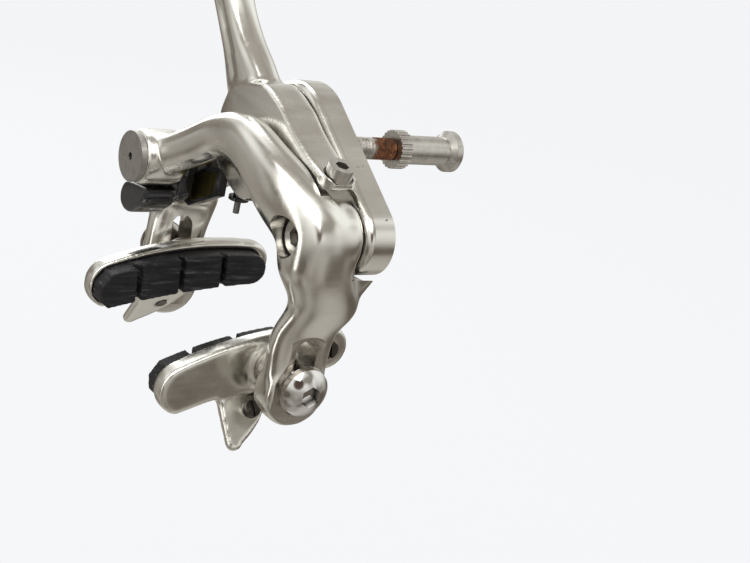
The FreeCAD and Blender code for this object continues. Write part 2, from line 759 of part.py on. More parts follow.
def make_spring():
    """The return spring's coil in the Y-arm's rear recess, its straight leg, and the leg's flanged sleeve."""
    x = -size("spring_coil_r")
    y = size("spring_y")
    coil = doc.addObject("Part::Torus", "spring_coil")
    bind(coil, Radius1="spring_coil_r", Radius2="spring_wire_r")
    coil.Placement = place(0, y, 0, REARWARD)
    leg = cylinder("spring_leg", "spring_wire_r - 0.05", "-spring_leg_bottom")
    leg.Placement = place(x, y, size("spring_leg_bottom"))
    node(fuse("spring_fuse", [coil, leg]), "return_spring", place())
    sleeve = cylinder("spring_sleeve_tube", "spring_sleeve_r", "spring_sleeve_len")
    flange = cylinder("spring_sleeve_flange", "2.7", "0.9", "-0.9")
    hole = cylinder("spring_sleeve_bore", "spring_wire_r", "20", "-10")
    node(cut("spring_sleeve_cut", fuse("spring_sleeve_fuse", [sleeve, flange]), [hole]), "spring_sleeve",
         place(x, y, size("spring_sleeve_top") - size("spring_sleeve_len")))


# ---------------------------------------------------------------- brake blocks

def pad_place(side):
    """The block's own frame: the bolt's axis at the holder's outer face, tilted rear end up."""
    alias = "near" if side > 0 else "far"
    tilt = FreeCAD.Rotation(FreeCAD.Vector(1, 0, 0), size(alias + "_tilt"))
    return place(side * size("holder_face_x"), leg_y, size(alias + "_bolt_z"), tilt)


REAR_SCREW = (17.0, 0.2)
REAR_SCREW_R = 1.6
WING_SCREW = (-6.4, -11.4)
WING_SCREW_R = 1.4
WING_FLARE = 34
WING_ROOT_Z = -4.6


def wing_place(side):
    """The guide wing's own frame: it flares outward, downwards from the holder's lower edge."""
    flare = FreeCAD.Rotation(FreeCAD.Vector(0, 1, 0), -WING_FLARE * side)
    hinge = place(-side * 1.6, 0, WING_ROOT_Z, flare)
    return hinge.multiply(place(0, 0, -WING_ROOT_Z))


def make_block(side):
    name = "near" if side > 0 else "far"
    inward = side > 0
    front = size("block_front")
    shell = front + 1.6
    rear = size("holder_rear")
    thick = size("holder_thick")

    holder = doc.addObject("PartDesign::Body", name + "_holder_body")
    face = add_sketch(holder, name + "_holder_outline", "YZ_Plane")
    draw_outline(face, [
        (shell + 5.0, 4.4), (-5.0, 7.4, "via"), (rear - 5.5, 5.9), (rear, 0.4, "via"), (rear - 5.5, -5.6),
        (-5.0, -5.9, "via"), (shell + 4.0, -8.2), (shell, -2.6, "via"),
    ])
    pad(holder, face, name + "_holder_pad", "holder_thick", backward=inward)
    wing = doc.addObject("PartDesign::Body", name + "_wing_body")
    outline = add_sketch(wing, name + "_wing_outline", "YZ_Plane")
    draw_outline(outline, [
        (-14.5, -4.0), (-15.0, -19.0), (-13.4, -20.4, "via"), (-11.0, -19.2),
        (-3.4, -13.0, "via"), (1.0, -4.0),
    ])
    pad(wing, outline, name + "_wing_pad", "2.2", backward=inward)
    wing.Placement = wing_place(side)
    boss = cone(name + "_holder_boss", "6.6", "5.8", "1.2")
    boss.Placement = place(0, 0, 0, outward(side))
    hole = cylinder(name + "_holder_bore", "pad_bolt_r + running_gap", "4.0")
    hole.Placement = place(-side * 2.0, 0, 0, outward(side))
    pocket = doc.addObject("PartDesign::Body", name + "_pocket_body")
    cavity = add_sketch(pocket, name + "_pocket_outline", "YZ_Plane")
    draw_outline(cavity, [
        (front + 5.4, 2.9), (-5.0, 5.6, "via"), (rear - 7.0, 4.3),
        (rear - 3.0, 0.3, "via"), (rear - 7.0, -4.2), (-5.0, -4.5, "via"),
        (front + 5.0, -6.6), (front + 2.5, -4.2), (front + 2.5, -0.4),
    ])
    pad(pocket, cavity, name + "_pocket_pad", "block_depth + 2", backward=inward)
    pocket.Placement = place(-side * (thick - size("block_sink")), 0, 0)
    rear_hole = cylinder(name + "_rear_hole", "%f" % REAR_SCREW_R, "3.0")
    rear_hole.Placement = place(-side * 2.2, *REAR_SCREW, outward(side))
    wing_hole = cylinder(name + "_wing_hole", "%f" % WING_SCREW_R, "3.0")
    wing_hole.Placement = wing_place(side).multiply(place(-side * 2.2, *WING_SCREW, outward(side)))
    solid = fuse(name + "_holder_fuse", [holder, boss, wing])
    node(cut(name + "_holder_cut", solid, [hole, pocket, rear_hole, wing_hole]), name + "_pad_holder",
         pad_place(side))

    rubber = doc.addObject("PartDesign::Body", name + "_rubber_body")
    face = add_sketch(rubber, name + "_rubber_outline", "YZ_Plane")
    draw_outline(face, [
        (front + 5.4, 2.8), (-5.0, 5.5, "via"), (rear - 7.0, 4.2),
        (rear - 3.1, 0.3, "via"), (rear - 7.0, -4.1), (-5.0, -4.4, "via"),
        (front + 5.0, -6.5), (front + 2.6, -4.2), (front + 2.6, -0.4),
    ])
    pad(rubber, face, name + "_rubber_pad", "block_depth", backward=inward)
    grooves = []
    for number in range(3):
        y = front + size("groove_first") + size("groove_pitch") * number
        groove = block("%s_groove_%d" % (name, number), "4", "groove_width", "20", (0, y, -10))
        depth = size("block_depth") - size("groove_depth")
        groove.Placement.Base.x = -depth - 4 if inward else depth
        grooves.append(groove)
    rubber_solid = cut(name + "_rubber_cut", rubber, grooves)
    shift = place(-side * (thick - size("block_sink")), 0, 0)
    node(rubber_solid, name + "_pad_rubber", pad_place(side).multiply(shift))

    screws = []
    rear_home = place(0, *REAR_SCREW, outward(side))
    wing_home = wing_place(side).multiply(place(0, *WING_SCREW, outward(side)))
    for label, home, r in (("rear", rear_home, REAR_SCREW_R), ("wing", wing_home, WING_SCREW_R)):
        shank = cylinder("%s_%s_screw" % (name, label), "%f" % r, "2.2", "-2.2")
        head = cylinder("%s_%s_screw_head" % (name, label), "%f" % (r + 0.7), "1.0")
        slot = block("%s_%s_screw_slot" % (name, label), "10", "0.6", "1.0", (-5, -0.3, 0.5))
        joined = fuse("%s_%s_screw_fuse" % (name, label), [shank, head])
        screw = cut("%s_%s_screw_cut" % (name, label), joined, [slot])
        screw.Placement = home
        screws.append(screw)
    group = doc.addObject("Part::Compound", name + "_screws")
    group.Links = screws
    node(group, name + "_pad_screws", pad_place(side))


def make_pad_hardware(side):
    """The bolt and its conical washers, square to the leg, on the block's bolt axis."""
    name = "near" if side > 0 else "far"
    face = size("holder_face_x")
    inner = size("leg_inner_x") - face
    outer = size("spot_face_x") - face
    z = size(name + "_bolt_z")
    home = place(side * face, leg_y, z, outward(side))

    def ring(label, low_r, high_r, thickness, start):
        solid = cone("%s_%s" % (name, label), low_r, high_r, "%f" % thickness)
        hole = cylinder("%s_%s_hole" % (name, label), "pad_bolt_r", "9", "-2")
        item = cut("%s_%s_cut" % (name, label), solid, [hole])
        item.Placement = place(0, 0, start)
        return item

    inner_pair = doc.addObject("Part::Compound", name + "_inner_pair")
    inner_pair.Links = [
        ring("inner_cup", "5.4", "cone_washer_r", 2.1, 1.3),
        ring("inner_cone", "cone_washer_r", "5.0", inner - 3.5 - 0.1, 3.5),
    ]
    node(inner_pair, name + "_inner_washers", home)
    outer_pair = doc.addObject("Part::Compound", name + "_outer_pair")
    outer_pair.Links = [
        ring("outer_cone", "5.0", "cone_washer_r", 1.6, outer + 0.1),
        ring("outer_cup", "cone_washer_r + 0.3", "cone_washer_r", 1.4, outer + 1.8),
    ]
    node(outer_pair, name + "_outer_washers", home)

    head_start = outer + 3.2
    dome_r = size("dome_r")
    height = size("dome_height")
    ball_r = (dome_r ** 2 + height ** 2) / (2 * height)
    ball = doc.addObject("Part::Sphere", name + "_dome_ball")
    bind(ball, Radius="(dome_r ^ 2 + dome_height ^ 2) / (2 * dome_height)")
    ball.Placement = place(0, 0, head_start + height - ball_r)
    slug = cylinder(name + "_dome_slug", "dome_r + 1", "dome_height + 1")
    slug.Placement = place(0, 0, head_start)
    shank = cylinder(name + "_pad_shank", "pad_bolt_r", "%f" % (head_start + 3.0))
    shank.Placement = place(0, 0, -1.8)
    socket = hexagon(name + "_pad_socket", "2.8", "6")
    socket.Placement = place(0, 0, head_start + height - 2.4)
    solid = fuse(name + "_bolt_fuse", [common(name + "_dome", ball, slug), shank])
    node(cut(name + "_bolt_cut", solid, [socket]), name + "_pad_bolt", home)


# ---------------------------------------------------------------- assembly

make_bracket_plate()
make_centre_bolt()
make_washer("nut_washer", "nut_washer_r", "tip_r", "nut_washer_thick",
            at_centre(-size("journal_len") - size("nut_washer_thick")))
make_pivot_nut()
make_washer("rear_thrust_washer", "thrust_r", "journal_r", "thrust_thick",
            at_centre(plate_front - size("thrust_thick")))
make_serrated_washer()
make_sleeve_nut()
make_side_pivot_bolt()
make_washer("side_thrust_washer", "thrust_r - 0.6", "side_shank_r", "thrust_thick",
            at_side(plate_front - size("thrust_thick")))
make_y_arm()
make_bush("y_arm_bush", "journal_r + running_gap", "y_arm_thick - hub_sink", at_centre(y_arm_rear, FORWARD))
make_slide_plate()
make_c_arm()
make_bush("c_arm_bush", "side_shank_r + running_gap", "side_boss_len - side_head_len + 0.5",
          at_side(y_arm_rear, FORWARD))
make_release_cam()
make_release_lever()
make_cable_anchor()
make_adjuster()
make_centring_screw()
make_spring()
for arm_side in (1, -1):
    make_block(arm_side)
    make_pad_hardware(arm_side)

doc.recompute()
for obj in doc.Objects:
    if "Invalid" in obj.State or "Error" in obj.State:
        raise RuntimeError("%s failed: %s" % (obj.Label, obj.State))
for obj in parts:
    if obj.Shape.isNull() or not obj.Shape.isValid() or not obj.Shape.Solids:
        raise RuntimeError("%s has no valid solid" % obj.Label)

os.makedirs("parts", exist_ok=True)
for obj in parts:
    obj.Shape.exportStep("parts/%s.step" % obj.Label)
    box = obj.Shape.BoundBox
    print("%-20s %d solid(s) %9.2f mm3  x %.1f..%.1f  y %.1f..%.1f  z %.1f..%.1f" % (
        obj.Label, len(obj.Shape.Solids), obj.Shape.Volume,
        box.XMin, box.XMax, box.YMin, box.YMax, box.ZMin, box.ZMax))
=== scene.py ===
import bmesh
import bpy
import json
import math
from mathutils import Matrix, Vector


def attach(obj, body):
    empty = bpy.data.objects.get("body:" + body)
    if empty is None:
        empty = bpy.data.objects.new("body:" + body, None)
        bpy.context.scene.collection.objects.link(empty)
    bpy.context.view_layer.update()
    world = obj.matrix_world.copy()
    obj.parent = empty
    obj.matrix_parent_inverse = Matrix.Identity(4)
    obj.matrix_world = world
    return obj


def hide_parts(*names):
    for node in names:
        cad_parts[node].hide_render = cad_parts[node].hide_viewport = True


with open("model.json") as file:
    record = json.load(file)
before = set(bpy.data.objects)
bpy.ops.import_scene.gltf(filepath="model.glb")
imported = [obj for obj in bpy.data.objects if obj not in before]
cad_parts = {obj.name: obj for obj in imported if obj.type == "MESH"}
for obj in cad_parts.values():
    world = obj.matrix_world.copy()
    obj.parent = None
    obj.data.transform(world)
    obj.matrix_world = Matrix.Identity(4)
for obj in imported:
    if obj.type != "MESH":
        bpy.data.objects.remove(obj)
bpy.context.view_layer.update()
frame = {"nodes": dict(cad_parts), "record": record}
MM = 0.001


# ---------------------------------------------------------------- node materials

def fill_ramp(node, stops):
    """Set a colour ramp from (position, colour or grey) stops."""
    elements = node.color_ramp.elements
    while len(elements) < len(stops):
        elements.new(0.5)
    for element, (position, colour) in zip(elements, stops):
        element.position = position
        grey = isinstance(colour, (int, float))
        element.color = (colour, colour, colour, 1) if grey else (*colour, 1)


class Shade:
    """A node material under construction, around one Principled shader."""

    def __init__(self, name):
        self.material = bpy.data.materials.new(name)
        self.material.use_nodes = True
        self.tree = self.material.node_tree
        self.shader = self.tree.nodes["Principled BSDF"]
        self.coords = self.tree.nodes.new("ShaderNodeTexCoord")

    def link(self, source, target):
        self.tree.links.new(source, target)

    def mapped(self, stretch):
        """Object coordinates, stretched along each axis."""
        mapping = self.tree.nodes.new("ShaderNodeMapping")
        mapping.inputs["Scale"].default_value = stretch
        self.link(self.coords.outputs["Object"], mapping.inputs["Vector"])
        return mapping.outputs["Vector"]

    def noise(self, scale, detail=4.0, rough=0.55, stretch=(1, 1, 1), distort=0.0):
        texture = self.tree.nodes.new("ShaderNodeTexNoise")
        texture.inputs["Scale"].default_value = scale
        texture.inputs["Detail"].default_value = detail
        texture.inputs["Roughness"].default_value = rough
        texture.inputs["Distortion"].default_value = distort
        self.link(self.mapped(stretch), texture.inputs["Vector"])
        return texture.outputs["Fac"]

    def cells(self, scale, stretch=(1, 1, 1)):
        texture = self.tree.nodes.new("ShaderNodeTexVoronoi")
        texture.inputs["Scale"].default_value = scale
        self.link(self.mapped(stretch), texture.inputs["Vector"])
        return texture.outputs["Distance"]

    def hollows(self, reach):
        """1 in the open, falling to 0 deep in gaps and corners."""
        node = self.tree.nodes.new("ShaderNodeAmbientOcclusion")
        node.samples = 6
        node.inputs["Distance"].default_value = reach
        return node.outputs["AO"]

    def along(self, axis, low, high):
        """0 to 1 between two places on one axis of the caliper, in millimetres."""
        split = self.tree.nodes.new("ShaderNodeSeparateXYZ")
        self.link(self.coords.outputs["Object"], split.inputs[0])
        node = self.tree.nodes.new("ShaderNodeMapRange")
        node.inputs["From Min"].default_value = low * MM
        node.inputs["From Max"].default_value = high * MM
        self.link(split.outputs[axis], node.inputs["Value"])
        return node.outputs["Result"]

    def near(self, centre, radius):
        """1 within a radius of a point of the caliper, in millimetres, and 0 away from it."""
        node = self.tree.nodes.new("ShaderNodeVectorMath")
        node.operation = "DISTANCE"
        self.link(self.coords.outputs["Object"], node.inputs[0])
        node.inputs[1].default_value = Vector(centre) * MM
        share = self.math("DIVIDE", node.outputs["Value"], radius * MM)
        return self.ramp(share, [(0.75, 1.0), (1.0, 0.0)])

    def ramp(self, value, stops):
        """A ramp through (position, colour or grey) stops."""
        node = self.tree.nodes.new("ShaderNodeValToRGB")
        self.link(value, node.inputs["Fac"])
        fill_ramp(node, stops)
        return node.outputs["Color"]

    def mix(self, factor, first, second, blend="MIX"):
        node = self.tree.nodes.new("ShaderNodeMix")
        node.data_type = "RGBA"
        node.blend_type = blend
        sockets = (node.inputs["Factor"], node.inputs[6], node.inputs[7])
        for value, socket in zip((factor, first, second), sockets):
            if isinstance(value, bpy.types.NodeSocket):
                self.link(value, socket)
            elif isinstance(value, tuple):
                socket.default_value = (*value, 1)
            else:
                socket.default_value = value
        return node.outputs[2]

    def math(self, operation, first, second):
        node = self.tree.nodes.new("ShaderNodeMath")
        node.operation = operation
        for value, socket in zip((first, second), node.inputs):
            if isinstance(value, bpy.types.NodeSocket):
                self.link(value, socket)
            else:
                socket.default_value = value
        return node.outputs[0]

    def bump(self, height, distance, strength=1.0):
        node = self.tree.nodes.new("ShaderNodeBump")
        node.inputs["Strength"].default_value = strength
        node.inputs["Distance"].default_value = distance
        self.link(height, node.inputs["Height"])
        self.link(node.outputs["Normal"], self.shader.inputs["Normal"])

    def colour(self, value):
        self.set("Base Color", value)

    def roughness(self, value):
        self.set("Roughness", value)

    def set(self, socket, value):
        if isinstance(value, bpy.types.NodeSocket):
            self.link(value, self.shader.inputs[socket])
        elif isinstance(value, tuple):
            self.shader.inputs[socket].default_value = (*value, 1)
        else:
            self.shader.inputs[socket].default_value = value


def polished(name, tint=(0.86, 0.85, 0.805), low=0.13, high=0.27, nicks=0.9, scuffs=()):
    """Hand-polished aluminium: soft bands, hairline scratches, painted shade mottled as grime in the gaps
    and small dark nicks.

    Each scuff is (x, y, z, radius) in millimetres, a place where the nicks crowd together.
    """
    s = Shade(name)
    s.set("Metallic", 1.0)
    clouds = s.noise(70, 5)
    hair = s.noise(420, 6, 0.7, (1, 0.12, 1))
    pits = s.ramp(s.cells(420, (1, 0.45, 1.3)), [(0.0, 1.0), (0.10, 1.0), (0.16, 0.0)])
    rare = s.ramp(s.noise(140, 3), [(0.66, 0.0), (0.69, nicks)])
    nick = s.math("MULTIPLY", pits, rare)
    chips = s.ramp(s.cells(620, (1, 0.35, 1.6)), [(0.0, 1.0), (0.22, 1.0), (0.30, 0.0)])
    patchy = s.ramp(s.noise(380, 4), [(0.54, 0.0), (0.58, 1.0)])
    for x, y, z, radius in scuffs:
        mark = s.math("MULTIPLY", s.math("MULTIPLY", chips, patchy), s.near((x, y, z), radius))
        nick = s.math("MAXIMUM", nick, mark)
    # painted shade: ambient occlusion darkens the gaps and corners towards brown, broken up by a grain
    # noise as grime
    hollow_shade = s.ramp(s.hollows(3.0 * MM), [(0.25, 1.0), (0.62, 0.0)])
    grain = s.ramp(s.noise(600, 6, 0.7), [(0.3, 0.25), (0.65, 1.0)])
    darkening = s.math("MULTIPLY", hollow_shade, grain)
    shade = s.ramp(clouds, [(0.3, tuple(0.93 * c for c in tint)), (0.7, tint)])
    shaded_and_grimy = s.mix(darkening, shade, (0.13, 0.105, 0.085))
    s.colour(s.mix(nick, shaded_and_grimy, (0.06, 0.05, 0.04)))
    base_rough = s.ramp(clouds, [(0.3, low), (0.72, high)])
    hair_rough = s.ramp(hair, [(0.45, 0.0), (0.75, 0.10)])
    worn = s.math("MULTIPLY", s.math("MAXIMUM", nick, darkening), 0.3)
    s.roughness(s.math("ADD", s.math("ADD", base_rough, hair_rough), worn))
    s.bump(s.math("SUBTRACT", s.math("MULTIPLY", hair, 0.2), nick), 0.00005, 0.4)
    return s.material


def grimy_aluminium(name):
    """Cast or turned aluminium with blotches of brown brake dust."""
    s = Shade(name)
    s.set("Metallic", 1.0)
    darkening = s.ramp(s.noise(260, 6, 0.65), [(0.42, 0.0), (0.62, 1.0)])
    s.colour(s.mix(darkening, (0.60, 0.575, 0.54), (0.17, 0.135, 0.10)))
    s.roughness(s.ramp(s.noise(300, 4), [(0.3, 0.28), (0.7, 0.6)]))
    s.bump(s.noise(900, 5), 0.00005, 0.4)
    return s.material


def brushed_steel(name, tint=(0.56, 0.55, 0.53), stain=(0.24, 0.17, 0.11), amount=0.45):
    s = Shade(name)
    s.set("Metallic", 1.0)
    turned = s.noise(700, 4, 0.6, (0.25, 1, 0.25))
    spots = s.ramp(s.noise(330, 5, 0.7), [(0.52, 0.0), (0.68, amount)])
    bare = s.mix(spots, s.ramp(turned, [(0.3, tuple(0.8 * c for c in tint)), (0.7, tint)]), stain)
    # painted shade: a darkened stain colour fills the gaps and corners
    hollow_shade = s.ramp(s.hollows(2.5 * MM), [(0.30, 1.0), (0.70, 0.0)])
    s.colour(s.mix(hollow_shade, bare, tuple(0.2 * c for c in stain)))
    s.roughness(s.math("ADD", s.ramp(turned, [(0.3, 0.24), (0.7, 0.36)]), s.math("MULTIPLY", spots, 0.4)))
    s.bump(turned, 0.00002, 0.25)
    return s.material


def rusty(name):
    """A zinc-plated thread: grey by the plate, then brown with orange bloom and dark pits."""
    s = Shade(name)
    bloom = s.noise(420, 8, 0.7, distort=0.6)
    rust = s.ramp(bloom, [(0.30, (0.02, 0.010, 0.006)), (0.46, (0.085, 0.032, 0.013)),
                          (0.58, (0.22, 0.085, 0.03)), (0.72, (0.36, 0.20, 0.10))])
    zinc = s.ramp(s.noise(500, 5), [(0.35, (0.34, 0.32, 0.29)), (0.65, (0.62, 0.60, 0.57))])
    edge = s.math("ADD", s.along("Y", 15.5, 21.5), s.math("MULTIPLY", s.math("SUBTRACT", bloom, 0.5), 1.6))
    gone = s.ramp(edge, [(0.35, 0.0), (0.6, 1.0)])
    s.colour(s.mix(gone, zinc, rust))
    s.set("Metallic", s.ramp(gone, [(0.0, 0.9), (1.0, 0.15)]))
    s.roughness(s.ramp(gone, [(0.0, 0.42), (1.0, 0.85)]))
    s.bump(bloom, 0.00016, 0.8)
    return s.material


def chrome(name):
    s = Shade(name)
    s.set("Metallic", 1.0)
    smudge = s.noise(160, 6, 0.6)
    plate = s.ramp(smudge, [(0.35, (0.72, 0.71, 0.70)), (0.7, (0.84, 0.835, 0.83))])
    # painted shade: the plate darkens to brown-black in the gaps and corners
    s.colour(s.mix(s.ramp(s.hollows(2.5 * MM), [(0.35, 1.0), (0.75, 0.0)]), plate, (0.06, 0.052, 0.04)))
    s.roughness(s.ramp(smudge, [(0.35, 0.035), (0.75, 0.13)]))
    s.bump(s.noise(1500, 4, 0.7, (1, 0.2, 1)), 0.00001, 0.15)
    return s.material


def rubber(name):
    """Brake block rubber, scored lengthwise by the rim, with grey dust."""
    s = Shade(name)
    score = s.noise(1100, 6, 0.7, (0.3, 0.07, 1))
    dust = s.ramp(s.noise(220, 6, 0.75), [(0.5, 0.0), (0.8, 0.35)])
    base = s.ramp(score, [(0.35, (0.003, 0.003, 0.004)), (0.56, (0.014, 0.014, 0.016)),
                          (0.66, (0.075, 0.073, 0.072))])
    s.colour(s.mix(dust, base, (0.05, 0.048, 0.048)))
    s.roughness(s.ramp(score, [(0.3, 0.36), (0.7, 0.6)]))
    s.set("Specular IOR Level", 0.35)
    s.bump(s.mix(0.5, score, s.noise(1400, 3)), 0.00030, 0.9)
    return s.material


def glossy_black(name, low=0.10, high=0.26):
    s = Shade(name)
    grain = s.noise(240, 5)
    s.colour(s.ramp(grain, [(0.3, (0.008, 0.008, 0.009)), (0.75, (0.022, 0.022, 0.025))]))
    s.roughness(s.ramp(grain, [(0.35, low), (0.75, high)]))
    s.set("Coat Weight", 0.4)
    s.set("Coat Roughness", 0.06)
    s.bump(s.noise(900, 4), 0.00003, 0.3)
    return s.material


def cast_grey(name):
    """The quick release's face: matt, scratched every way and slightly stained."""
    s = Shade(name)
    s.set("Metallic", 1.0)
    first = s.noise(900, 6, 0.75, (1, 1, 0.15))
    second = s.noise(900, 6, 0.75, (0.15, 1, 1))
    scratch = s.ramp(s.math("MAXIMUM", first, second), [(0.55, 0.0), (0.66, 1.0)])
    stain = s.ramp(s.noise(210, 5), [(0.45, 0.0), (0.7, 0.5)])
    plain = s.mix(stain, (0.50, 0.49, 0.475), (0.27, 0.24, 0.21))
    # painted shade: near black in the gaps and corners
    hollow_shade = s.ramp(s.hollows(1.5 * MM), [(0.4, 1.0), (0.8, 0.0)])
    s.colour(s.mix(hollow_shade, s.mix(scratch, plain, (0.66, 0.65, 0.63)), (0.05, 0.04, 0.03)))
    s.roughness(s.ramp(scratch, [(0.0, 0.5), (1.0, 0.3)]))
    s.bump(scratch, 0.00004, 0.4)
    return s.material


def brass(name, tint=(0.22, 0.185, 0.06), dark=(0.05, 0.042, 0.02)):
    s = Shade(name)
    s.set("Metallic", 1.0)
    rub = s.noise(330, 6, 0.65, (1, 1, 0.2))
    s.colour(s.ramp(rub, [(0.35, dark), (0.62, tint), (0.8, tuple(1.5 * c for c in tint))]))
    s.roughness(s.ramp(rub, [(0.3, 0.5), (0.7, 0.25)]))
    s.bump(rub, 0.00004, 0.4)
    return s.material


SCUFFS = [
    (38.5, -9.0, -19.0, 4.5), (38.5, -16.0, -22.5, 2.0), (40.0, -4.0, -17.0, 3.0), (25.0, -2.0, 3.0, 2.5),
]
LOOKS = {
    "polished_aluminium": polished("aluminium_polished", scuffs=SCUFFS),
    "dull_aluminium": grimy_aluminium("aluminium_grimy"),
    "rusty_steel": rusty("steel_rusty"),
    "dark_steel": brushed_steel("steel_dark", (0.17, 0.16, 0.15), (0.07, 0.05, 0.04), 0.8),
    "steel": brushed_steel("steel_worn", (0.74, 0.725, 0.69), (0.42, 0.36, 0.30), 0.35),
    "spring_steel": brushed_steel("steel_spring", (0.30, 0.30, 0.31), (0.12, 0.09, 0.07), 0.5),
    "bronze": brass("bronze_plain", (0.42, 0.29, 0.15), (0.15, 0.09, 0.05)),
    "brass": brass("brass_olive"),
    "grey_cast": cast_grey("release_grey"),
    "black_plastic": glossy_black("plastic_black"),
    "block_rubber": rubber("block_rubber"),
    "chrome": chrome("chrome_dome"),
}
slots = {entry["node"]: entry["material_slot"] for entry in frame["record"]["subparts"]}

for name, obj in frame["nodes"].items():
    obj.data.materials.clear()
    obj.data.materials.append(LOOKS[slots[name]])


# ---------------------------------------------------------------- forged shapes, in millimetres

SIDE_X, SIDE_Z = 33.0, -12.0
Y_REAR, Y_FRONT = -8.6, -19.0
C_REAR = -19.6
LEG_Y = -15.0
LEG_INNER_X, LEG_OUTER_X = 30.1, 37.7
LEG_END_Z, LEG_END_R = -52.0, 8.3
SLOT_R = 3.1
SLOT_LOW = -54.0
SPOT_R, SPOT_X = 7.2, 37.4
SIDE_BOSS_R, SIDE_BORE_R = 8.8, 5.05
RELEASE_X, RELEASE_Z = -24.4, -12.6
RELEASE_FRONT, RELEASE_REAR, RELEASE_R = -36.0, -24.2, 7.0
ADJUSTER = (-35.0, -14.0)
ADJUSTER_LOW, ADJUSTER_HIGH, ADJUSTER_R = 36.0, 43.0, 5.6
SCREW_LEAN = math.radians(14)
SCREW_FOOT = (32.3, -13.8, 2.6)
SPRING_R, SPRING_Y = 10.6, -11.8
VOXEL = 0.45 * MM
BOOLEAN = "MANIFOLD"
TAIL_X, TAIL_Y, TAIL_R = 30.6, -13.8, 5.3
SLIDE_MIDDLE = (-19.4, -18.0)
SLIDE_CORNERS = [(-11.0, -6.0), (-6.4, 0.6), (2.2, 5.4), (10.0, 7.6), (10.2, 0.4), (-3.2, -7.2)]

# The lower leg, alike on both arms. A station of a limb is (x, y, z of its spine, the spine's heading
# in degrees, half width, half depth).
LEG = [(35.8, -12.2, -28.5, -96, 4.8, 9.2), (33.9, LEG_Y + 0.4, -37.0, -92, 3.8, 8.7),
       (33.9, LEG_Y, -47.0, -90, 3.8, 8.3), (33.9, LEG_Y, LEG_END_Z, -90, 3.8, LEG_END_R)]


def spline_point(rows, t):
    """A Catmull-Rom curve through rows of numbers; t counts rows."""
    last = len(rows) - 1
    i = min(int(t), last - 1)
    u = t - i
    p0, p1, p2, p3 = (rows[max(0, min(last, i + k))] for k in (-1, 0, 1, 2))
    return [0.5 * (2 * b + (c - a) * u + (2 * a - 5 * b + 4 * c - d) * u * u
                   + (3 * b - a - 3 * c + d) * u ** 3)
            for a, b, c, d in zip(p0, p1, p2, p3)]


def add_rings(bm, rings):
    """Skin closed rings of points, in millimetres, and cap both ends."""
    made = [[bm.verts.new(Vector(p) * MM) for p in ring] for ring in rings]
    count = len(made[0])
    for low, high in zip(made, made[1:]):
        for k in range(count):
            bm.faces.new((low[k], low[(k + 1) % count], high[(k + 1) % count], high[k]))
    bm.faces.new(reversed(made[0]))
    bm.faces.new(made[-1])


def add_limb(bm, stations, power=2.7, steps=12, around=44):
    """A limb swept through its stations, with superelliptic sections."""
    rings = []
    for step in range((len(stations) - 1) * steps + 1):
        x, y, z, heading, across, depth = spline_point(stations, step / steps)
        turn = math.radians(heading)
        side = Vector((-math.sin(turn), 0, math.cos(turn)))
        ring = []
        for k in range(around):
            c, s = math.cos(2 * math.pi * k / around), math.sin(2 * math.pi * k / around)
            wide = math.copysign(abs(c) ** (2 / power), c) * across
            deep = math.copysign(abs(s) ** (2 / power), s) * depth
            ring.append(Vector((x, y + deep, z)) + side * wide)
        rings.append(ring)
    add_rings(bm, rings)


def add_round(bm, start, end, radii, around=64):
    """A turned piece from start to end, with a radius at each share of the way: [(share, radius), ...]."""
    start, end = Vector(start), Vector(end)
    axis = (end - start).normalized()
    u = axis.orthogonal().normalized()
    v = axis.cross(u)
    rings = []
    for share, radius in radii:
        centre = start.lerp(end, share)
        rings.append([centre + (u * math.cos(a) + v * math.sin(a)) * radius
                      for a in (2 * math.pi * k / around for k in range(around))])
    add_rings(bm, rings)


def add_tube(bm, start, end, radius, around=64):
    add_round(bm, start, end, [(0, radius), (1, radius)], around)


def add_plate(bm, outline, front, rear):
    """A flat shape in the XZ plane between two values of Y."""
    add_rings(bm, [[(x, front, z) for x, z in outline], [(x, rear, z) for x, z in outline]])


def add_box(bm, low, high):
    outline = [(low[0], low[2]), (high[0], low[2]), (high[0], high[2]), (low[0], high[2])]
    add_plate(bm, outline, low[1], high[1])


def add_ring(bm, inner, outer, front, rear, around=64):
    """A square-edged ring about the centre bolt's axis."""
    rings = []
    for radius, y in ((inner, front), (outer, front), (outer, rear), (inner, rear)):
        rings.append([bm.verts.new(Vector((radius * math.cos(a), y, radius * math.sin(a))) * MM)
                      for a in (2 * math.pi * k / around for k in range(around))])
    for low, high in zip(rings, rings[1:] + rings[:1]):
        for k in range(around):
            bm.faces.new((low[k], low[(k + 1) % around], high[(k + 1) % around], high[k]))


def add_thread(bm, start, end, crest, root, pitch, around=36):
    """A screw thread about the centre bolt's axis, from one value of Y to another."""
    rings = []
    steps = int((end - start) / pitch * 8)
    for step in range(steps + 1):
        y = start + (end - start) * step / steps
        ring = []
        for k in range(around):
            turn = ((y - start) / pitch - k / around) % 1.0
            radius = root + (crest - root) * min(1.0, 1.25 * abs(2 * turn - 1))
            angle = 2 * math.pi * k / around
            ring.append((radius * math.cos(angle), y, radius * math.sin(angle)))
        rings.append(ring)
    add_rings(bm, rings)


def closed_curve(corners, steps=8):
    """A smooth closed outline through the corners."""
    rows = [corners[-1]] + list(corners) + [corners[0], corners[1]]
    return [tuple(spline_point(rows, 1 + step / steps)) for step in range(len(corners) * steps)]


def stadium(low, high, radius, around=40):
    """An upright slot's outline in the YZ plane, about the leg's middle line."""
    points = []
    for k in range(around):
        angle = 2 * math.pi * k / around
        middle = high if math.sin(angle) >= 0 else low
        points.append((LEG_Y + radius * math.cos(angle), middle + radius * math.sin(angle)))
    return points


def add_stadium(bm, outline, x0, x1):
    add_rings(bm, [[(x, y, z) for y, z in outline] for x in (x0, x1)])


def as_object(bm, name):
    bmesh.ops.recalc_face_normals(bm, faces=bm.faces)
    mesh = bpy.data.meshes.new(name)
    bm.to_mesh(mesh)
    bm.free()
    obj = bpy.data.objects.new(name, mesh)
    bpy.context.scene.collection.objects.link(obj)
    return obj


